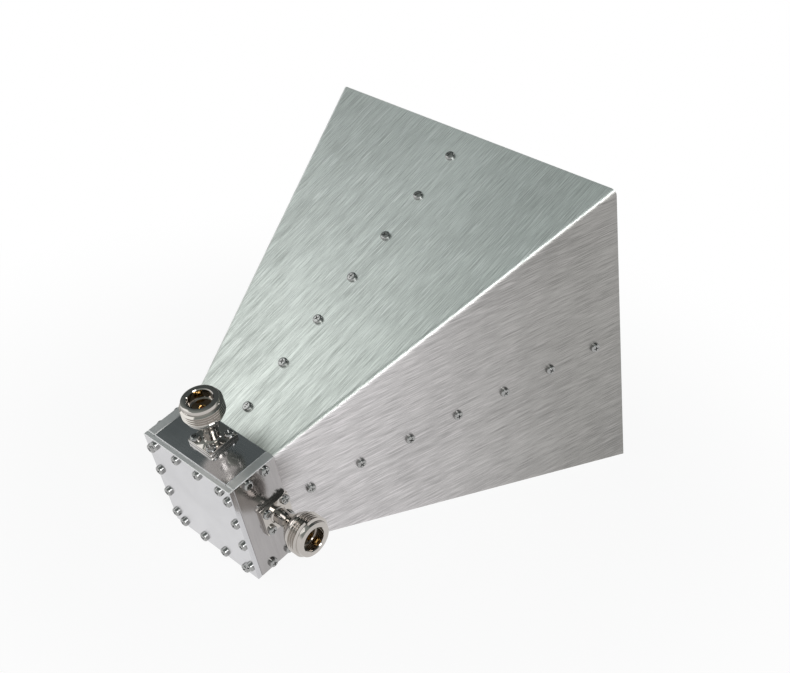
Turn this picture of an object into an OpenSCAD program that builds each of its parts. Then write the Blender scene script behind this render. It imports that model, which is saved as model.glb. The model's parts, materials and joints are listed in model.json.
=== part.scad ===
// Dual-polarised quad-ridged pyramidal horn antenna with two coaxial ports.
//
// Construction axes: X to the right seen from behind, Y along the boresight
// from the rear cover to the mouth, Z up. The finished antenna is tipped back
// by rest_tilt, so that it lies on the feed box's rear bottom edge and on the
// foremost screw head under the horn. Lengths are in millimetres.

/* [Feed box] */
// Outer width and height of the feed box
box_w = 48; // [46:0.5:58]
// Length of the four plates along the boresight
plate_len = 19.2; // [18.6:0.2:28]
// Thickness of the rear cover
cover_t = 2; // [1.5:0.1:3]
// Thickness of the left and right plates
side_plate_t = 4.1; // [3.8:0.1:6]
// Thickness of the top and bottom plates
cap_plate_t = 5.2; // [4.4:0.1:7]
// Chamfer that breaks every milled edge
edge_break = 0.25; // [0.1:0.05:0.5]

/* [Horn] */
// Step from the box's side in to the horn's throat
throat_step = 1; // [0.6:0.1:2]
// Outer width and height of the mouth
mouth_w = 139; // [110:1:180]
// Length of the flare along the boresight
horn_len = 138.7; // [110:0.5:180]
// Sheet thickness of the horn walls
wall_t = 1.5; // [1:0.1:2.2]
// Outer radius of the two folded edges
bend_r = 2.2; // [1.8:0.1:4]

/* [Ridges] */
// Thickness of each ridge plate
ridge_t = 5; // [4.4:0.1:6]
// Gap between facing ridge tips at the feed
ridge_gap = 3; // [2.6:0.1:3.6]
// Gap between the bevelled tips of neighbouring ridges
bevel_gap = 0.85; // [0.5:0.05:1.1]
// Cavity depth between the rear cover and the ridges
backshort = 4.8; // [3:0.1:5.2]
// Distance the ridges stop short of the mouth
ridge_inset = 3; // [1:0.5:8]

/* [Coaxial ports] */
// Distance from the box's front to the axis of the right port
port_setback = 6.4; // [6.4:0.1:6.9]
// Distance along the boresight between the two port axes
port_stagger = 1.3; // [1.2:0.05:1.6]
// Height of the port's mating face above the box
port_h = 20.8; // [19.5:0.1:26]
// Side of the square flange
flange_w = 12.7; // [12.4:0.1:12.8]
// Thickness of the flange
flange_t = 1.7; // [1.2:0.1:2.2]
// Distance between neighbouring flange screws
flange_pitch = 8.64; // [8.5:0.02:8.8]
// Outer radius of the neck
neck_r = 2.9; // [2.7:0.05:3.2]
// Height at which the neck starts to flare
neck_h = 6.5; // [4:0.1:8]
// Radius where the flare meets the thread
flare_r = 7.5; // [6.6:0.05:7.7]
// Major radius of the coupling thread
thread_r = 7.94; // [7.8:0.02:8.4]
// Length of the threaded band
thread_len = 4.2; // [3:0.1:5]
// Radius of the plain rim in front of the thread
rim_r = 6.95; // [6.4:0.05:7.2]
// Length of the plain rim
rim_len = 1.6; // [1:0.1:2.4]
// Radius of the socket at its mouth
socket_r = 4.7; // [4.4:0.05:5]
// Depth of the wide part of the socket
socket_depth = 4; // [3:0.1:5]
// Radius of the socket around the centre contact
socket_seat_r = 4.05; // [3.8:0.05:4.2]
// Full depth of the socket down to the insulator
reference_depth = 9; // [8:0.1:9.6]
// Distance from the mating face back to the contact's tip
contact_recess = 4.3; // [4.2:0.1:5.4]

/* [Coaxial line] */
// Radius of the centre contact's socket
contact_r = 1.52; // [1.4:0.02:1.7]
// Radius of the hole in the contact's socket
contact_bore_r = 0.83; // [0.7:0.01:0.95]
// Width of the slots in the contact's socket
contact_slot = 0.3; // [0.2:0.05:0.4]
// Radius of the insulator in the neck
insulator_r = 2.05; // [1.9:0.05:2.15]
// Radius of the centre conductor in the neck
conductor_r = 0.64; // [0.6:0.01:0.75]
// Radius of the insulator inside a ridge
ridge_insulator_r = 1.45; // [1.3:0.05:1.6]
// Radius of the probe pin
probe_r = 0.45; // [0.4:0.01:0.48]
// Radius of the air gap around the probe near the ridge tip
probe_gap_r = 0.85; // [0.7:0.05:0.88]
// Solid ridge left between the insulator's end and the tip
tip_web = 2; // [1.7:0.1:3]
// Depth to which the probe enters the facing ridge
probe_depth = 4; // [2.5:0.1:6]

/* [Screws] */
// Shank radius
screw_r = 1; // [0.9:0.05:1.1]
// Radius of the pan head
head_r = 1.9; // [1.7:0.05:2.1]
// Height of the pan head
head_h = 1.3; // [1.1:0.05:1.6]
// Depth of the cross recess
recess_depth = 0.7; // [0.5:0.05:0.9]
// Distance from a box edge to the screws beside it
screw_inset = 2.55; // [2.4:0.05:2.7]
// Screws along each edge of the rear cover
cover_screws = 4; // [3:1:5]
// Distance from the rear cover to the nearer side-plate screws
side_screw_rear = 5.7; // [5.5:0.1:6.5]
// Distance from the box's front to the other side-plate screws
side_screw_front = 5.4; // [2.5:0.1:6]
// Screws through each horn wall into its ridge
ridge_screws = 7; // [4:1:7]
// Distance from the box's front to the first ridge screw
ridge_screw_start = 9.5; // [7:0.1:12]
// Distance from the last ridge screw to the mouth
ridge_screw_end = 11.6; // [8:0.1:14]
// Length of the rear cover's screws under the head
cover_screw_len = 5; // [4:0.1:5.1]
// Length of the side plates' screws under the head
side_screw_len = 8; // [6:0.5:10]
// Length of the flange screws under the head
flange_screw_len = 5; // [4:0.1:5.1]
// Length of the ridge screws under the head
ridge_screw_len = 6; // [4:0.5:7]

/* [Fits] */
// Radial clearance of a screw in its tapped hole
tap_fit = 0.03; // [0.02:0.01:0.05]
// Radial clearance of a screw in a plain hole
hole_fit = 0.15; // [0.05:0.05:0.25]
// Radial clearance of the coaxial pieces in their bores
coax_fit = 0.05; // [0.02:0.01:0.08]
// Film between a horn wall and the ridge or screw head seated on it
seat_fit = 0.02; // [0.01:0.01:0.05]

/* [Hidden] */
$fn = 48;

// The four sides, a quarter turn about the boresight apart
SIDES = ["top", "right", "bottom", "left"];
function turns(side) = search([side], SIDES)[0];
function upright(side) = side == "top" || side == "bottom";
function has_port(side) = side == "top" || side == "right";

// Feed box
box_half = box_w / 2;
box_len = cover_t + plate_len;
cavity_half_w = box_half - side_plate_t;
cavity_half_h = box_half - cap_plate_t;
screw_line = box_half - screw_inset;
cover_pitch = 0.75 * box_w / (cover_screws - 1);
drill_room = 0.3;
cut = 1;

// Horn
throat_half = box_half - throat_step;
mouth_half = mouth_w / 2;
mouth_y = box_len + horn_len;
slope = (mouth_half - throat_half) / horn_len;
wall_angle = atan(slope);
wall_run = wall_t / cos(wall_angle);
function outer_half(y) = throat_half + (y - box_len) * slope;
function inner_half(y) = outer_half(y) - wall_run;

// Ridges: the tip leaves the boresight along an exponential curve
tip_h = ridge_gap / 2;
bevel_offset = bevel_gap * sin(45);
ridge_rear_y = cover_t + backshort;
ridge_end_y = mouth_y - ridge_inset;
taper_rate = ln(inner_half(mouth_y) / tip_h) / horn_len;
taper_steps = 40;
function tip_curve(y) = tip_h * exp(taper_rate * (y - box_len));
function cavity_half(side) = upright(side) ? cavity_half_h : cavity_half_w;

// Ports
right_port_y = box_len - port_setback;
top_port_y = right_port_y - port_stagger;
function port_y(side) = upright(side) ? top_port_y : right_port_y;
thread_top = port_h - rim_len;
thread_bottom = thread_top - thread_len;
socket_floor = port_h - reference_depth;
insulator_head = 1.1;
thread_chamfer = 0.35;
rim_chamfer = 0.3;
flare_steps = 10;
// Smooth step from the neck to the head
function flare(s) = neck_r + (flare_r - neck_r) * s * s * (3 - 2 * s);
// Outline of the turned body, as radius and height above the box
port_profile = concat(
    [[0, 0], [neck_r, 0]],
    [for (i = [0:flare_steps])
        [flare(i / flare_steps), neck_h + (thread_bottom - neck_h) * i / flare_steps]],
    [[thread_r - thread_chamfer, thread_bottom], [thread_r, thread_bottom + thread_chamfer],
     [thread_r, thread_top - thread_chamfer], [thread_r - thread_chamfer, thread_top],
     [rim_r, thread_top], [rim_r, port_h - rim_chamfer], [rim_r - rim_chamfer, port_h], [0, port_h]]);

// Screws
tip_taper = screw_r * 0.2;
head_flat_r = head_r * 0.62;
head_side_h = head_h * 0.4;
recess_span = head_flat_r * 1.7;
recess_w = head_r * 0.22;
head_round = [for (a = [0:22.5:90])
    [head_flat_r + (head_r - head_flat_r) * cos(a), head_side_h + (head_h - head_side_h) * sin(a)]];

// Resting attitude: from the cover's lower rear edge to the foremost head's far rim
first_screw_y = box_len + ridge_screw_start;
last_screw_y = mouth_y - ridge_screw_end;
rest_rear = [edge_break, -box_half];
rest_front = [last_screw_y + head_flat_r * cos(wall_angle) - head_h * sin(wall_angle),
              -outer_half(last_screw_y) - seat_fit - head_flat_r * sin(wall_angle) - head_h * cos(wall_angle)];
rest_tilt = atan((rest_rear.y - rest_front.y) / (rest_front.x - rest_rear.x));
// Place of a construction point [y, z] along the resting antenna, before centring
function rest_y(p) = p.x * cos(rest_tilt) - p.y * sin(rest_tilt);
function rest_z(p) = p.x * sin(rest_tilt) + p.y * cos(rest_tilt);
front_reach = rest_y([mouth_y, -mouth_half]);
rear_reach = min(concat(
    [for (p = head_round) rest_y([-p.y, screw_line + p.x])],
    [for (p = port_profile) rest_y([top_port_y - p.x, box_half + p.y])]));

// Tips the antenna into its resting attitude, centred over the origin
module at_rest() {
    translate([0, -(front_reach + rear_reach) / 2, -rest_z(rest_rear)])
        rotate([rest_tilt, 0, 0])
            children();
}

// ---- placing ----

module on_side(side) {
    rotate([0, 90 * turns(side), 0])
        children();
}

// Puts children on the box at a port's axis, with Z pointing out
module at_port(side) {
    on_side(side)
        translate([0, port_y(side), box_half])
            children();
}

module at_cover_screws() {
    for (side = SIDES, i = [0:cover_screws - 1])
        on_side(side)
            translate([(i - (cover_screws - 1) / 2) * cover_pitch, 0, screw_line])
                rotate([90, 0, 0])
                    rotate([0, 0, 37 * i + 20 * turns(side)])
                        children();
}

module at_side_screws(side) {
    rows = [cover_t + side_screw_rear, box_len - side_screw_front];
    for (i = [0, 1], s = [-1, 1])
        on_side(side)
            translate([s * screw_line, rows[i], box_half])
                rotate([0, 0, (85 + 92 * i) * s])
                    children();
}

module at_flange_screws(side) {
    for (sx = [-1, 1], sy = [-1, 1])
        at_port(side)
            translate([sx * flange_pitch / 2, sy * flange_pitch / 2, flange_t])
                rotate([0, 0, 25 * sx + 40 * sy])
                    children();
}

module at_ridge_screws(side) {
    for (i = [0:ridge_screws - 1]) {
        y = first_screw_y + (last_screw_y - first_screw_y) * i / (ridge_screws - 1);
        on_side(side)
            translate([0, y, outer_half(y) + seat_fit])
                rotate([wall_angle, 0, 0])
                    rotate([0, 0, 29 * i])
                        children();
    }
}

// ---- shared shapes ----

// Block between two corners with every edge chamfered
module milled_block(low, high) {
    size = high - low;
    translate((low + high) / 2)
        intersection() {
            linear_extrude(size.z, center = true)
                chamfered_rectangle(size.x, size.y);
            rotate([90, 0, 0])
                linear_extrude(size.y, center = true)
                    chamfered_rectangle(size.x, size.z);
            rotate([90, 0, 90])
                linear_extrude(size.x, center = true)
                    chamfered_rectangle(size.y, size.z);
        }
}

module chamfered_rectangle(w, h) {
    a = w / 2;
    b = h / 2;
    c = edge_break;
    polygon([[a, c - b], [a, b - c], [a - c, b], [c - a, b], [-a, b - c], [-a, c - b], [c - a, -b], [a - c, -b]]);
}

// Cross-recessed pan-head screw, seated at z = 0 with its head above
module pan_screw(len) {
    difference() {
        rotate_extrude()
            polygon(concat(
                [[0, -len], [screw_r - tip_taper, -len], [screw_r, tip_taper - len], [screw_r, 0], [head_r, 0]],
                head_round, [[0, head_h]]));
        for (a = [0, 90])
            rotate([0, 0, a])
                translate([0, 0, head_h])
                    cube([recess_span, recess_w, 2 * recess_depth], center = true);
    }
}

// Tapped hole for a screw of the given length
module tapped(len) {
    translate([0, 0, -len - drill_room])
        cylinder(r = screw_r + tap_fit, h = len + drill_room + flange_t + cut);
}

// Plain hole through whatever the screw clamps
module plain_hole(depth) {
    translate([0, 0, -depth - cut])
        cylinder(r = screw_r + hole_fit, h = depth + 2 * cut);
}

// ---- feed box ----

module rear_cover() {
    color("silver")
        at_rest()
            difference() {
                milled_block([-box_half, 0, -box_half], [box_half, cover_t, box_half]);
                at_cover_screws()
                    plain_hole(cover_t);
            }
}

module rear_cover_screws() {
    color("gainsboro")
        at_rest()
            at_cover_screws()
                pan_screw(cover_screw_len);
}

// Top or bottom plate, between the side plates
module cap_plate(side) {
    color("darkgray")
        at_rest()
            difference() {
                on_side(side)
                    milled_block([-cavity_half_w, cover_t, cavity_half_h], [cavity_half_w, box_len, box_half]);
                at_cover_screws()
                    tapped(cover_screw_len);
                for (s = ["left", "right"])
                    at_side_screws(s)
                        tapped(side_screw_len);
                if (has_port(side))
                    port_holes(side);
            }
}

// Left or right plate, over the full height of the box
module side_plate(side) {
    color("darkgray")
        at_rest()
            difference() {
                on_side(side)
                    milled_block([-box_half, cover_t, cavity_half_w], [box_half, box_len, box_half]);
                at_cover_screws()
                    tapped(cover_screw_len);
                at_side_screws(side)
                    plain_hole(side_plate_t);
                if (has_port(side))
                    port_holes(side);
            }
}

// Coaxial bore and flange screw holes of a port, through its plate
module port_holes(side) {
    at_port(side)
        translate([0, 0, -cap_plate_t - side_plate_t])
            cylinder(r = insulator_r + coax_fit, h = cap_plate_t + side_plate_t + cut);
    at_flange_screws(side)
        tapped(flange_screw_len);
}

module top_plate() {
    cap_plate("top");
}

module bottom_plate() {
    cap_plate("bottom");
}

module left_plate() {
    side_plate("left");
}

module right_plate() {
    side_plate("right");
}

module left_plate_screws() {
    color("gainsboro")
        at_rest()
            at_side_screws("left")
                pan_screw(side_screw_len);
}

module right_plate_screws() {
    color("gainsboro")
        at_rest()
            at_side_screws("right")
                pan_screw(side_screw_len);
}

// ---- horn ----

// Section of the folded sheet: square foot, rounded upper corners
function folded_section(half, foot, r) = concat(
    [[-half, -foot], [half, -foot]],
    [for (a = [0:15:90]) [half - r + r * cos(a), half - r + r * sin(a)]],
    [for (a = [90:15:180]) [r - half + r * cos(a), half - r + r * sin(a)]]);

// Solid between two like sections, at y0 and y1
module loft(section0, y0, section1, y1) {
    n = len(section0);
    polyhedron(
        points = concat([for (p = section0) [p.x, y0, p.y]], [for (p = section1) [p.x, y1, p.y]]),
        faces = concat(
            [[for (i = [n - 1:-1:0]) i], [for (i = [n:2 * n - 1]) i]],
            [for (i = [0:n - 1]) [i, (i + 1) % n, n + (i + 1) % n, n + i]]));
}

// Top, left and right walls, folded from one sheet
module horn_shell() {
    y0 = box_len - cut;
    y1 = mouth_y + cut;
    color("lightgray")
        at_rest()
            difference() {
                loft(folded_section(throat_half, throat_half, bend_r), box_len,
                     folded_section(mouth_half, mouth_half, bend_r), mouth_y);
                loft(folded_section(inner_half(y0), outer_half(y0) + cut, bend_r - wall_t), y0,
                     folded_section(inner_half(y1), outer_half(y1) + cut, bend_r - wall_t), y1);
                for (side = ["top", "right", "left"])
                    at_ridge_screws(side)
                        plain_hole(wall_t);
            }
}

// Flat plate brazed in between the side walls
module horn_bottom_wall() {
    function rim(y) = [[-inner_half(y), -outer_half(y)], [inner_half(y), -outer_half(y)],
                       [inner_half(y), -inner_half(y)], [-inner_half(y), -inner_half(y)]];
    color("lightgray")
        at_rest()
            difference() {
                loft(rim(box_len), box_len, rim(mouth_y), mouth_y);
                at_ridge_screws("bottom")
                    plain_hole(wall_t);
            }
}

// ---- ridges ----

// Outline of a ridge: distance along the boresight, distance from it
function ridge_outline(side) = concat(
    [[ridge_rear_y, cavity_half(side)], [ridge_rear_y, tip_h]],
    [for (i = [0:taper_steps])
        let (y = box_len + (ridge_end_y - box_len) * i / taper_steps) [y, tip_curve(y)]],
    [[ridge_end_y, inner_half(ridge_end_y) - seat_fit], [box_len, inner_half(box_len) - seat_fit],
     [box_len, cavity_half(side)]]);

// One ridge: a profiled plate with a bevelled tip. The top and right ridges
// carry a port's line, the bottom and left ones take the end of its probe.
module ridge(side) {
    color("silver")
        at_rest()
            difference() {
                on_side(side)
                    intersection() {
                        rotate([90, 0, 90])
                            linear_extrude(ridge_t, center = true)
                                polygon(ridge_outline(side));
                        translate([0, 0, bevel_offset])
                            rotate([0, -45, 0])
                                cube([mouth_w, mouth_y, mouth_w]);
                    }
                at_ridge_screws(side)
                    tapped(ridge_screw_len);
                if (has_port(side))
                    feed_bore(side);
                else
                    probe_socket(side);
            }
}

// Stepped bore of the coaxial line, from the plate to the ridge tip
module feed_bore(side) {
    on_side(side)
        translate([0, port_y(side), 0]) {
            translate([0, 0, tip_h + tip_web])
                cylinder(r = ridge_insulator_r + coax_fit, h = box_half);
            cylinder(r = probe_gap_r, h = box_half);
        }
}

// Hole in the facing ridge that the probe is soldered into
module probe_socket(side) {
    on_side(side)
        translate([0, port_y(side), tip_h - cut])
            cylinder(r = probe_r + tap_fit, h = probe_depth + cut);
}

module top_ridge() {
    ridge("top");
}

module right_ridge() {
    ridge("right");
}

module bottom_ridge() {
    ridge("bottom");
}

module left_ridge() {
    ridge("left");
}

module ridge_screw_row(side) {
    color("gainsboro")
        at_rest()
            at_ridge_screws(side)
                pan_screw(ridge_screw_len);
}

module top_ridge_screws() {
    ridge_screw_row("top");
}

module right_ridge_screws() {
    ridge_screw_row("right");
}

module bottom_ridge_screws() {
    ridge_screw_row("bottom");
}

module left_ridge_screws() {
    ridge_screw_row("left");
}

// ---- ports ----

// Turned body with its square flange; the coupling thread is left plain
module port_body(side) {
    half = flange_w / 2;
    color("lightsteelblue")
        at_rest()
            difference() {
                union() {
                    at_port(side)
                        milled_block([-half, -half, 0], [half, half, flange_t]);
                    at_port(side)
                        rotate_extrude()
                            polygon(port_profile);
                }
                at_port(side)
                    rotate_extrude()
                        polygon([[0, -cut], [insulator_r + coax_fit, -cut], [insulator_r + coax_fit, socket_floor],
                                 [socket_seat_r, socket_floor], [socket_seat_r, port_h - socket_depth],
                                 [socket_r, port_h - socket_depth], [socket_r, port_h + cut], [0, port_h + cut]]);
                at_flange_screws(side)
                    plain_hole(flange_t);
            }
}

// Insulator: a disc in the socket's floor, the line through neck and plate,
// and a slimmer line inside the ridge
module port_insulator(side) {
    shoulder = cavity_half(side) - box_half;
    tail = tip_h + tip_web - box_half;
    bore = conductor_r + coax_fit;
    color("white")
        at_rest()
            at_port(side)
                rotate_extrude()
                    polygon([[bore, socket_floor + insulator_head],
                             [bore, shoulder], [probe_r + coax_fit, shoulder],
                             [probe_r + coax_fit, tail], [ridge_insulator_r, tail],
                             [ridge_insulator_r, shoulder], [insulator_r, shoulder], [insulator_r, socket_floor],
                             [socket_seat_r - coax_fit, socket_floor],
                             [socket_seat_r - coax_fit, socket_floor + insulator_head]]);
}

// Centre conductor: slotted socket, line conductor and probe in one turning
module port_contact(side) {
    tip = port_h - contact_recess;
    foot = socket_floor + insulator_head;
    shoulder = cavity_half(side) - box_half;
    probe_end = -box_half - tip_h - probe_depth;
    slot_depth = (tip - foot) * 0.75;
    color("gold")
        at_rest()
            at_port(side)
                difference() {
                    rotate_extrude()
                        polygon([[0, probe_end], [probe_r, probe_end], [probe_r, shoulder], [conductor_r, shoulder],
                                 [conductor_r, foot], [contact_r, foot], [contact_r, tip - contact_slot],
                                 [contact_r - contact_slot, tip], [contact_bore_r, tip],
                                 [contact_bore_r, tip - slot_depth], [0, tip - slot_depth]]);
                    for (a = [0, 90])
                        rotate([0, 0, 45 + a])
                            translate([0, 0, tip])
                                cube([3 * contact_r, contact_slot, 2 * slot_depth], center = true);
                }
}

module flange_screws(side) {
    color("gainsboro")
        at_rest()
            at_flange_screws(side)
                pan_screw(flange_screw_len);
}

module top_port_body() {
    port_body("top");
}

module top_port_insulator() {
    port_insulator("top");
}

module top_port_contact() {
    port_contact("top");
}

module top_flange_screws() {
    flange_screws("top");
}

module right_port_body() {
    port_body("right");
}

module right_port_insulator() {
    port_insulator("right");
}

module right_port_contact() {
    port_contact("right");
}

module right_flange_screws() {
    flange_screws("right");
}

rear_cover();
rear_cover_screws();
top_plate();
bottom_plate();
left_plate();
right_plate();
left_plate_screws();
right_plate_screws();
horn_shell();
horn_bottom_wall();
top_ridge();
right_ridge();
bottom_ridge();
left_ridge();
top_ridge_screws();
right_ridge_screws();
bottom_ridge_screws();
left_ridge_screws();
top_port_body();
top_port_insulator();
top_port_contact();
top_flange_screws();
right_port_body();
right_port_insulator();
right_port_contact();
right_flange_screws();
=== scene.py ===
import json
import math
import bmesh
import bpy
from mathutils import Matrix, Vector


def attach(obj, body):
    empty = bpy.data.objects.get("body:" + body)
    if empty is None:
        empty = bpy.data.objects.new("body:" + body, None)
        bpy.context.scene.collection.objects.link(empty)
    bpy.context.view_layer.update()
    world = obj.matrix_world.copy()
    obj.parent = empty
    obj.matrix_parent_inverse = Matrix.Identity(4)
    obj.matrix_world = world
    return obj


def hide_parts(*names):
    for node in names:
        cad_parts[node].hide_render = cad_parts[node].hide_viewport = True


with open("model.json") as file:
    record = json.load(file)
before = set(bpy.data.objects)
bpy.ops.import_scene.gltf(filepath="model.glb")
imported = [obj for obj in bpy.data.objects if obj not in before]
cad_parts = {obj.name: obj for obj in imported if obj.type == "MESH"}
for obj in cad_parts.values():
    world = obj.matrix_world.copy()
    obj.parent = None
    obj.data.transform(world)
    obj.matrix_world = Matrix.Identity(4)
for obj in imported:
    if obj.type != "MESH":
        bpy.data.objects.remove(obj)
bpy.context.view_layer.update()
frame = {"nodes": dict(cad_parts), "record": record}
nodes = frame["nodes"]
print("antenna loaded:", len(nodes), "parts")

# the antenna lies tipped back about X; these values take its own axes to the table's
lying = {"tilt": math.radians(16.2004), "shift": (0, -0.08268, 0.022977)}
toTable = Matrix.Translation(lying["shift"]) @ Matrix.Rotation(lying["tilt"], 4, "X")


# ---- shader helpers ----

class Sock:  # a shader socket that can be used in sums
    def __init__(self, finish, socket):
        self.finish = finish
        self.socket = socket

    def sum(self, operation, a, b):
        return self.finish.node("ShaderNodeMath", {"operation": operation}, {0: a, 1: b})

    def __add__(self, other):
        return self.sum("ADD", self, other)

    def __radd__(self, other):
        return self.sum("ADD", other, self)

    def __sub__(self, other):
        return self.sum("SUBTRACT", self, other)

    def __rsub__(self, other):
        return self.sum("SUBTRACT", other, self)

    def __mul__(self, other):
        return self.sum("MULTIPLY", self, other)

    def __rmul__(self, other):
        return self.sum("MULTIPLY", other, self)

    def __gt__(self, other):
        return self.sum("GREATER_THAN", self, other)

    def __lt__(self, other):
        return self.sum("LESS_THAN", self, other)

    def __abs__(self):
        return self.sum("ABSOLUTE", self, 0.0)


class Finish:  # a node tree under construction
    def __init__(self, tree):
        self.tree = tree
        tree.nodes.clear()

    def node(self, kind, settings=None, inputs=None, out=0):
        made = self.tree.nodes.new(kind)
        for key, value in (settings or {}).items():
            setattr(made, key, value)
        for key, value in (inputs or {}).items():
            if isinstance(value, Sock):
                self.tree.links.new(value.socket, made.inputs[key])
            else:
                made.inputs[key].default_value = value
        return Sock(self, made.outputs[out])

    def blend(self, factor, a, b):  # two colours
        return self.node("ShaderNodeMix", {"data_type": "RGBA"}, {0: factor, 6: a, 7: b}, 2)

    def spread(self, value, low, high, start=0.0, end=1.0):  # value from low..high to start..end
        return self.node("ShaderNodeMapRange", {"interpolation_type": "SMOOTHSTEP"},
                         {0: value, 1: low, 2: high, 3: start, 4: end})

    def ownCoords(self):  # x across, y along the boresight, z up, as separate sockets
        place = self.node("ShaderNodeTexCoord", out=3)
        turned = self.node("ShaderNodeMapping", {"vector_type": "TEXTURE"},
                           {"Vector": place, "Location": lying["shift"], "Rotation": (lying["tilt"], 0, 0)})
        split = self.node("ShaderNodeSeparateXYZ", None, {0: turned}).socket.node
        return [Sock(self, split.outputs[i]) for i in range(3)]

    def noise(self, x, y, z, detail, roughness):
        place = self.node("ShaderNodeCombineXYZ", None, {0: x, 1: y, 2: z})
        return self.node("ShaderNodeTexNoise", {"noise_dimensions": "3D"},
                         {"Vector": place, "Scale": 1.0, "Detail": detail, "Roughness": roughness})

    def grain(self, coords, fineness, detail, roughness):  # the same in all directions
        return self.noise(*[c * fineness for c in coords], detail, roughness)

    def bump(self, height, strength, distance):
        return self.node("ShaderNodeBump", None,
                         {"Strength": strength, "Distance": distance, "Height": height})

    def finishWith(self, **inputs):
        named = {key.replace("_", " "): value for key, value in inputs.items()}
        self.outputTo("ShaderNodeOutputMaterial", self.node("ShaderNodeBsdfPrincipled", None, named))

    def outputTo(self, kind, shader):
        out = self.tree.nodes.new(kind)
        self.tree.links.new(shader.socket, out.inputs[0])


def newFinish(name):
    material = bpy.data.materials.new(name)
    material.use_nodes = True
    return material, Finish(material.node_tree)


def grey(value, tint=(1, 1, 1)):
    return (value * tint[0], value * tint[1], value * tint[2], 1)


# ---- horn sheet: brushed along its length ----

sheet = {
    "pale": 0.99, "dark": 0.52, "tint": (0.985, 1.0, 0.985), "skew": 0.12,
    # grains per metre across and along, shift between facing walls, start, detail, roughness
    "hair": (5000.0, 100.0, 7.0, 0.0, 4.0, 0.65),
    "band": (420.0, 14.0, 5.0, 3.0, 3.0, 0.6),
    "scratch": (1900.0, 75.0, 3.0, 11.0, 2.0, 0.5),
    "cloud": 22.0, "hairShare": 0.72, "bandShare": 0.16, "cloudShare": 0.12, "toneSpan": (0.36, 0.64),
    "scratchSpan": (0.585, 0.66), "scratchShine": 0.8,
    "roughHigh": 0.48, "roughLow": 0.34, "roughSpan": (0.3, 0.7),
    "bump": 0.30, "depth": 0.00004, "hairBump": 0.7, "scratchBump": 0.5,
    # painted shade: each wall has one painted shade near the box and one near the mouth (top and bottom
    # darker near the box, sides far darker near the mouth); the span is in metres
    "paintedShadeSpan": (0.03, 0.15),
    "paintedShadeThroatFlat": (0.83, 0.86, 0.83, 1), "paintedShadeMouthFlat": (0.97, 1.0, 0.99, 1),
    "paintedShadeThroatSide": (0.79, 0.755, 0.77, 1), "paintedShadeMouthSide": (0.42, 0.405, 0.395, 1),
}


def hornSheetFinish():
    s = sheet
    material, f = newFinish("brushedSheet")
    x, y, z = f.ownCoords()
    flat = abs(z) > abs(x)  # top and bottom walls
    across = f.node("ShaderNodeMix", {"data_type": "FLOAT"}, {0: flat, 2: z, 3: x - y * s["skew"]})
    side = x > 0.0  # so that facing walls differ

    def stroke(wide, along, apart, start, detail, roughness):
        return f.noise(across * wide, y * along, side * apart + start, detail, roughness)

    hair, band, scratch = [stroke(*s[key]) for key in ("hair", "band", "scratch")]
    cloud = f.grain((x, y, z), s["cloud"], 2.0, 0.5)
    tone = hair * s["hairShare"] + band * s["bandShare"] + cloud * s["cloudShare"]
    colour = f.blend(f.spread(tone, *s["toneSpan"]),
                     grey(s["dark"], s["tint"]), grey(s["pale"], s["tint"]))
    scratch = f.spread(scratch, *s["scratchSpan"])
    colour = f.blend(scratch * s["scratchShine"], colour, grey(1.0))
    # painted shade: the colour is multiplied by these tones along the boresight, standing in for darker
    # reflections
    paintedShadeAlong = f.spread(y, *s["paintedShadeSpan"])
    shade = f.blend(flat, f.blend(paintedShadeAlong, s["paintedShadeThroatSide"], s["paintedShadeMouthSide"]),
                    f.blend(paintedShadeAlong, s["paintedShadeThroatFlat"], s["paintedShadeMouthFlat"]))
    colour = f.node("ShaderNodeMix", {"data_type": "RGBA", "blend_type": "MULTIPLY"},
                    {0: 1.0, 6: colour, 7: shade}, 2)
    rough = f.spread(band * 0.5 + hair * 0.5, *s["roughSpan"], s["roughHigh"], s["roughLow"])
    normal = f.bump(hair * s["hairBump"] + scratch * s["scratchBump"], s["bump"], s["depth"])
    f.finishWith(Base_Color=colour, Metallic=1.0, Roughness=rough, Normal=normal)
    return material


# ---- milled plates: smooth faces, duller edges ----

milled = {
    # the side tint is painted shade that darkens and warms the side plates
    "pale": 0.64, "dark": 0.56, "tint": (0.99, 0.985, 1.01), "sideTintPaintedShade": (0.64, 0.615, 0.61),
    "lineAcross": 60.0, "lineAlong": 900.0, "haze": 45.0,  # per metre
    "toneSpan": (0.3, 0.7), "hazeSpan": (0.35, 0.65), "bump": 0.12, "depth": 0.00002,
    "roughFace": 0.13, "hazeRough": 0.08, "roughEdge": 0.42, "edgeDark": 0.70, "edgePale": 0.84,
    # upward edges outside these limits, in metres, are sawn: the side plates' and the cover's
    "up": (0, -0.279, 0.9603), "upFrom": 0.6, "capHalf": 0.0198, "coverFront": 0.0021,
}


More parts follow.
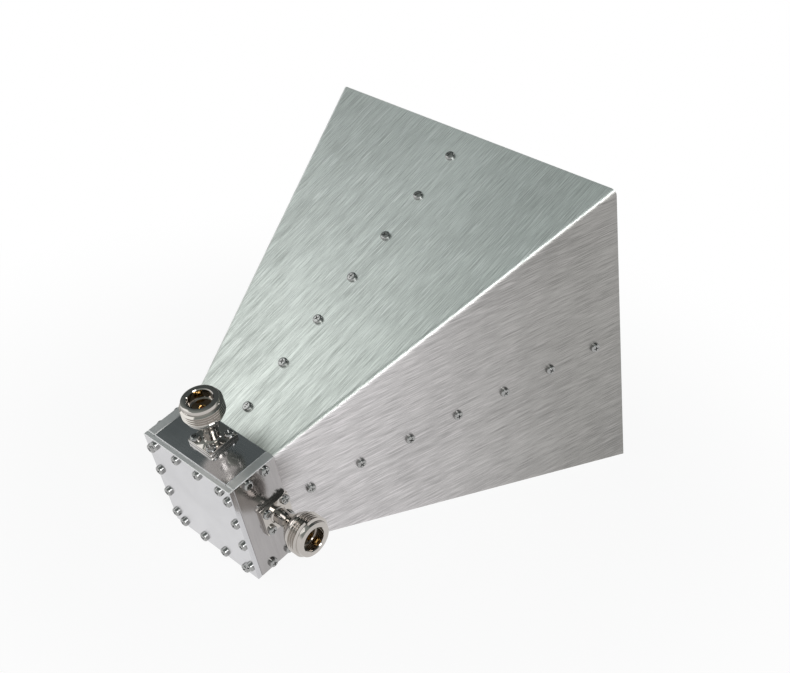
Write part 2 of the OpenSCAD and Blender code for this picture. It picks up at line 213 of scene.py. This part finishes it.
def milledFinish(name, tint):
    m = milled
    material, f = newFinish(name)
    x, y, z = f.ownCoords()
    line = f.noise(x * m["lineAcross"], y * m["lineAlong"], z * m["lineAcross"], 3.0, 0.6)
    haze = f.grain((x, y, z), m["haze"], 3.0, 0.55)
    colour = f.blend(f.spread(line * 0.5 + haze * 0.5, *m["toneSpan"]),
                     grey(m["dark"], tint), grey(m["pale"], tint))
    facing = f.node("ShaderNodeVectorMath", {"operation": "DOT_PRODUCT"},
                    {0: f.node("ShaderNodeTexCoord", out=1), 1: m["up"]}, 1)
    outside = f.node("ShaderNodeMath", {"operation": "MAXIMUM"},
                     {0: abs(x) > m["capHalf"], 1: y < m["coverFront"]})
    edge = (facing > m["upFrom"]) * outside
    colour = f.blend(edge, colour, f.blend(line, grey(m["edgeDark"]), grey(m["edgePale"])))
    haze = f.spread(haze, *m["hazeSpan"], m["roughFace"], m["roughFace"] + m["hazeRough"])
    rough = haze + edge * (m["roughEdge"] - m["roughFace"])
    normal = f.bump(line, m["bump"], m["depth"])
    f.finishWith(Base_Color=colour, Metallic=1.0, Roughness=rough, Normal=normal)
    return material


# ---- plated and plain pieces ----

plated = {  # finish, colour, roughness, how much rougher its dull spots are
    "ridge": ("satinRidge", (0.80, 0.80, 0.81), 0.30, 0.10),
    "port_nickel": ("brightNickel", (0.52, 0.49, 0.46), 0.05, 0.04),
    "contact_gold": ("goldPlate", (0.80, 0.52, 0.20), 0.14, 0.04),
    "screw_steel": ("brightSteel", (0.37, 0.37, 0.365), 0.08, 0.05),
}
spots = {"fineness": 300.0, "span": (0.3, 0.7), "shade": 0.9}
# painted shade: the insulator's colour is kept dark brown so that the sockets look dark deep inside
waxy = {"dark": (0.22, 0.18, 0.13, 1), "pale": (0.30, 0.25, 0.18, 1), "rough": 0.45, "fineness": 400.0}


def plainMetal(name, colour, rough, rougher):
    material, f = newFinish(name)
    haze = f.grain(f.ownCoords(), spots["fineness"], 3.0, 0.6)
    darker = tuple(c * spots["shade"] for c in colour) + (1,)
    f.finishWith(Base_Color=f.blend(haze, darker, colour + (1,)), Metallic=1.0,
                 Roughness=f.spread(haze, *spots["span"], rough, rough + rougher))
    return material


# its dark brown colour is painted shade for the inside of the sockets
def waxyPlastic():
    material, f = newFinish("waxyInsulator")
    haze = f.grain(f.ownCoords(), waxy["fineness"], 2.0, 0.5)
    f.finishWith(Base_Color=f.blend(haze, waxy["dark"], waxy["pale"]), Roughness=waxy["rough"])
    return material


finishes = {
    "horn_sheet": hornSheetFinish(),
    "milled_plate": milledFinish("milledAluminium", milled["tint"]),
    "insulator": waxyPlastic(),
}
for slotName, values in plated.items():
    finishes[slotName] = plainMetal(*values)

paintedShadeSideStock = milledFinish("milledSideAluminiumPaintedShade", milled["sideTintPaintedShade"])  # painted shade: the side plates are coloured darker and warmer than the rest
sidePlates = ("left_plate", "right_plate")
slotOf = {part["node"]: part["material_slot"] for part in frame["record"]["subparts"]}
for name, piece in nodes.items():
    piece.data.materials.clear()
    piece.data.materials.append(paintedShadeSideStock if name in sidePlates else finishes[slotOf[name]])
print("finishes ready:", ", ".join(finishes))


# ---- finer pieces, drawn in mm ----

mm = 0.001
sharpFrom = math.radians(32)


def addPiece(bm, name, slotName, replaced, place=Matrix.Identity(4)):
    bmesh.ops.transform(bm, matrix=toTable @ Matrix.Scale(mm, 4) @ place, verts=bm.verts[:])
    mesh = bpy.data.meshes.new(name)
    bm.to_mesh(mesh)
    bm.free()
    mesh.set_sharp_from_angle(angle=sharpFrom)
    piece = bpy.data.objects.new(name, mesh)
    bpy.context.scene.collection.objects.link(piece)
    mesh.materials.append(finishes[slotName])
    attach(piece, "root")
    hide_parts(replaced)


# ---- ports: a turned, threaded body on a square flange ----

port = {
    "topPlace": (0, 13.5, 24), "rightPlace": (24, 14.8, 0),
    # radii, and heights above the box
    "bore": 2.1, "neck": 2.9, "fillet": 0.5, "filletFrom": 0.25, "filletTo": 0.6,
    "neckTop": 6.5, "flare": 7.25, "flareSteps": 16, "flareStep": 0.15,
    "top": 20.8, "rim": 6.95, "rimStep": 0.1, "lip": 0.3, "lipRound": 0.3,
    "socket": 4.7, "socketDepth": 4.0, "seat": 4.05, "seatStep": 0.15, "floor": 11.8,
    # thread: its foot lies a little inside the body
    "threadFrom": 13.9, "threadTo": 19.2, "root": 7.1, "crest": 7.94, "crestHalf": 0.07,
    "pitch": 1.058, "turns": 4.5, "lead": 0.5, "buried": 0.1, "rootGap": 0.03,
    "flange": 12.7, "flangeThick": 1.7, "flangeBevel": 0.22, "steps": 96,
}


def spinProfile(bm, points, steps):
    verts = [bm.verts.new((r, 0, h)) for r, h in points]
    edges = [bm.edges.new(pair) for pair in zip(verts, verts[1:])]
    bmesh.ops.spin(bm, geom=verts + edges, cent=(0, 0, 0), axis=(0, 0, 1), angle=2 * math.pi,
                   steps=steps, use_merge=True)


def portBody(name, replaced, place):
    p = port
    rise = p["threadFrom"] - p["neckTop"]
    flare = []
    for i in range(p["flareSteps"] + 1):
        s = i / p["flareSteps"]
        ease = s * s * (3 - 2 * s)
        flare.append((p["neck"] + (p["flare"] - p["neck"]) * ease, p["neckTop"] + rise * s))
    lip, top, rim = p["lip"], p["top"], p["rim"]
    lipRound = lip * p["lipRound"]
    foot = p["neck"] + p["fillet"]
    ledge = top - p["socketDepth"]
    outline = [(p["bore"], 0.0), (foot, 0.0), (foot, p["flangeThick"] + p["filletFrom"]),
               (p["neck"], p["flangeThick"] + p["filletTo"])]
    outline += flare
    outline += [(p["root"], p["threadFrom"] + p["flareStep"]), (p["root"], p["threadTo"]),
                (rim, p["threadTo"] + p["rimStep"]),
                (rim, top - lip), (rim - lipRound, top - lipRound), (rim - lip, top),
                (p["socket"] + lip, top), (p["socket"], top - lip), (p["socket"], ledge),
                (p["seat"], ledge - p["seatStep"]), (p["seat"], p["floor"]),
                (p["bore"], p["floor"]), (p["bore"], 0.0)]
    bm = bmesh.new()
    spinProfile(bm, outline, p["steps"])
    inner = p["root"] - p["buried"]
    half = p["pitch"] / 2 - p["rootGap"]
    tooth = [(inner, -half), (p["crest"], -p["crestHalf"]), (p["crest"], p["crestHalf"]), (inner, half)]
    tooth = [bm.verts.new((r, 0, p["threadFrom"] + p["lead"] + h)) for r, h in tooth]
    face = bm.faces.new(tooth)
    bmesh.ops.spin(bm, geom=[face], cent=(0, 0, 0), axis=(0, 0, 1), dvec=(0, 0, p["pitch"] / p["steps"]),
                   angle=2 * math.pi * p["turns"], steps=round(p["steps"] * p["turns"]))
    bmesh.ops.remove_doubles(bm, verts=bm.verts[:], dist=0.001)
    block = bmesh.ops.create_cube(bm, size=1)["verts"]
    bmesh.ops.scale(bm, vec=(p["flange"], p["flange"], p["flangeThick"]), verts=block)
    bmesh.ops.translate(bm, vec=(0, 0, p["flangeThick"] / 2), verts=block)
    edges = list({e for v in block for e in v.link_edges})
    bmesh.ops.bevel(bm, geom=edges, offset=p["flangeBevel"], segments=2, profile=0.5,
                    affect="EDGES", material=-1)
    bmesh.ops.recalc_face_normals(bm, faces=bm.faces[:])
    for f in bm.faces:
        f.smooth = True
    addPiece(bm, name, "port_nickel", replaced, place)


portBody("topPort", "top_port_body", Matrix.Translation(port["topPlace"]))
portBody("rightPort", "right_port_body",
         Matrix.Translation(port["rightPlace"]) @ Matrix.Rotation(math.pi / 2, 4, "Y"))
print("ports turned and threaded")


# ---- horn: its top and sides, folded from one sheet ----

horn = {"throatY": 21.2, "mouthY": 159.9, "throat": 46.0, "mouth": 139.0, "wall": 1.5,
        "bend": 2.2, "bendSteps": 14, "reach": 3.0}


def hornShell():
    h = horn
    bm = bmesh.new()
    bmesh.ops.create_cube(bm, size=1)
    length = h["mouthY"] - h["throatY"]
    grow = (h["mouth"] - h["throat"]) / length * h["reach"]  # it reaches past both ends, to be cut square
    rear = h["throat"] - grow
    bmesh.ops.scale(bm, vec=(rear, length + 2 * h["reach"], rear), verts=bm.verts[:])
    front = [v for v in bm.verts if v.co.y > 0]
    ratio = (h["mouth"] + grow) / rear
    bmesh.ops.scale(bm, vec=(ratio, 1, ratio), verts=front)
    bmesh.ops.translate(bm, vec=(0, (h["mouthY"] + h["throatY"]) / 2, 0), verts=bm.verts[:])
    bends = [e for e in bm.edges
             if all(v.co.z > 0 for v in e.verts) and abs(e.verts[0].co.y - e.verts[1].co.y) > 1]
    bmesh.ops.bevel(bm, geom=bends, offset=h["bend"], offset_type="OFFSET", segments=h["bendSteps"],
                    profile=0.5, affect="EDGES", material=-1)
    bm.normal_update()
    gone = [f for f in bm.faces if abs(f.normal.y) > 0.9 or f.normal.z < -0.5]
    bmesh.ops.delete(bm, geom=gone, context="FACES")
    bmesh.ops.solidify(bm, geom=bm.faces[:], thickness=h["wall"])
    for y, way in ((h["throatY"], -1), (h["mouthY"], 1)):
        cut = bmesh.ops.bisect_plane(bm, geom=bm.verts[:] + bm.edges[:] + bm.faces[:], dist=1e-5,
                                     plane_co=(0, y, 0), plane_no=(0, way, 0), clear_outer=True)
        rim = [e for e in cut["geom_cut"] if isinstance(e, bmesh.types.BMEdge)]
        bmesh.ops.contextual_create(bm, geom=rim)
    bmesh.ops.recalc_face_normals(bm, faces=bm.faces[:])
    for f in bm.faces:  # only the bends are shaded round
        f.smooth = f.normal.z > 0.1 and abs(f.normal.x) > 0.05 and abs(f.normal.y) < 0.9
    addPiece(bm, "hornShell", "horn_sheet", "horn_shell")


hornShell()
print("horn folded")


# ---- stage ----

studio = {
    "floorHalf": 6.0, "floorColour": (0.9, 0.89, 0.9, 1), "sink": 0.0002,  # just clear of the antenna
    "white": 1.0, "shadowShare": 0.10, "clearFrom": 0.10, "clearTo": 0.27,  # the shadow is let out here
    "horizon": (1, 1, 1, 1), "ceiling": (0.35, 0.385, 0.37, 1), "darkCeiling": (0.10, 0.115, 0.115, 1),
    "ceilingSpan": (0.08, 0.50), "aheadSpan": (-0.20, 0.16), "aim": (0, 0, 0.05),
}
lamps = {  # place, width, height, watts
    "softboxLeft": ((-0.75, -0.60, 0.75), 0.7, 0.7, 1.9),
    "softboxRight": ((0.91, -0.46, 0.70), 0.45, 0.60, 4.8),
    "stripFront": ((0.35, 0.9, 0.9), 0.15, 0.9, 1.6),
}


def stageFloor():
    bm = bmesh.new()
    bmesh.ops.create_grid(bm, x_segments=1, y_segments=1, size=studio["floorHalf"])
    mesh = bpy.data.meshes.new("floor")
    bm.to_mesh(mesh)
    bm.free()
    floor = bpy.data.objects.new("floor", mesh)
    bpy.context.scene.collection.objects.link(floor)
    floor.location.z = -studio["sink"]
    material, f = newFinish("paleFloor")
    path = f.node("ShaderNodeLightPath").socket.node
    rays = [Sock(f, path.outputs["Is " + ray + " Ray"]) for ray in ("Camera", "Glossy", "Transmission")]
    seen = f.node("ShaderNodeMath", {"operation": "MINIMUM"}, {0: rays[0] + rays[1] + rays[2], 1: 1.0})
    away = f.node("ShaderNodeVectorMath", {"operation": "LENGTH"},
                  {0: f.node("ShaderNodeTexCoord", out=3)}, 1)
    share = f.spread(away, studio["clearFrom"], studio["clearTo"], 1 - studio["shadowShare"], 1.0)
    diffuse = f.node("ShaderNodeBsdfDiffuse", None, {"Color": studio["floorColour"]})
    glow = f.node("ShaderNodeEmission", None, {"Color": (1, 1, 1, 1), "Strength": studio["white"]})
    mixed = f.node("ShaderNodeMixShader", None, {0: seen * share, 1: diffuse, 2: glow})
    f.outputTo("ShaderNodeOutputMaterial", mixed)
    floor.data.materials.append(material)


def stageWorld():  # white at the horizon, grey overhead and darker ahead of the horn
    world = bpy.data.worlds.new("studio")
    bpy.context.scene.world = world
    world.use_nodes = True
    f = Finish(world.node_tree)
    way = f.node("ShaderNodeTexCoord", out=0)
    split = f.node("ShaderNodeSeparateXYZ", None, {0: way}).socket.node
    height = Sock(f, split.outputs[2])
    up = f.spread(height, *studio["ceilingSpan"])
    ahead = f.spread(Sock(f, split.outputs[1]), *studio["aheadSpan"])
    colour = f.blend(up, studio["horizon"], f.blend(ahead, studio["ceiling"], studio["darkCeiling"]))
    f.outputTo("ShaderNodeOutputWorld", f.node("ShaderNodeBackground", None, {0: colour, 1: 1.0}))


def softLamp(name, place, width, height, watts):
    data = bpy.data.lights.new(name, "AREA")
    data.shape = "RECTANGLE"
    data.size = width
    data.size_y = height
    data.energy = watts
    lamp = bpy.data.objects.new(name, data)
    bpy.context.scene.collection.objects.link(lamp)
    lamp.location = place
    way = Vector(studio["aim"]) - Vector(place)
    lamp.rotation_euler = way.to_track_quat("-Z", "Y").to_euler()


stageFloor()
stageWorld()
for name, values in lamps.items():
    softLamp(name, *values)

scene = bpy.context.scene
scene.view_settings.view_transform = "Standard"

# ---- camera ----

view = {"lens": 56.48, "sensor": 36, "near": 0.01, "far": 50,
        "place": (0.286443, -0.302719, 0.307105),
        "turn": ((0.72104186, -0.38395048, 0.57678476),
                 (0.69068147, 0.33184214, -0.64252618),
                 (0.05529674, 0.86166283, 0.50445956))}
camData = bpy.data.cameras.new("camera")
camData.lens = view["lens"]
camData.sensor_width = view["sensor"]
camData.clip_start = view["near"]
camData.clip_end = view["far"]
camera = bpy.data.objects.new("camera", camData)
scene.collection.objects.link(camera)
camera.matrix_world = Matrix.Translation(view["place"]) @ Matrix(view["turn"]).to_4x4()
scene.camera = camera
print("stage and camera ready")
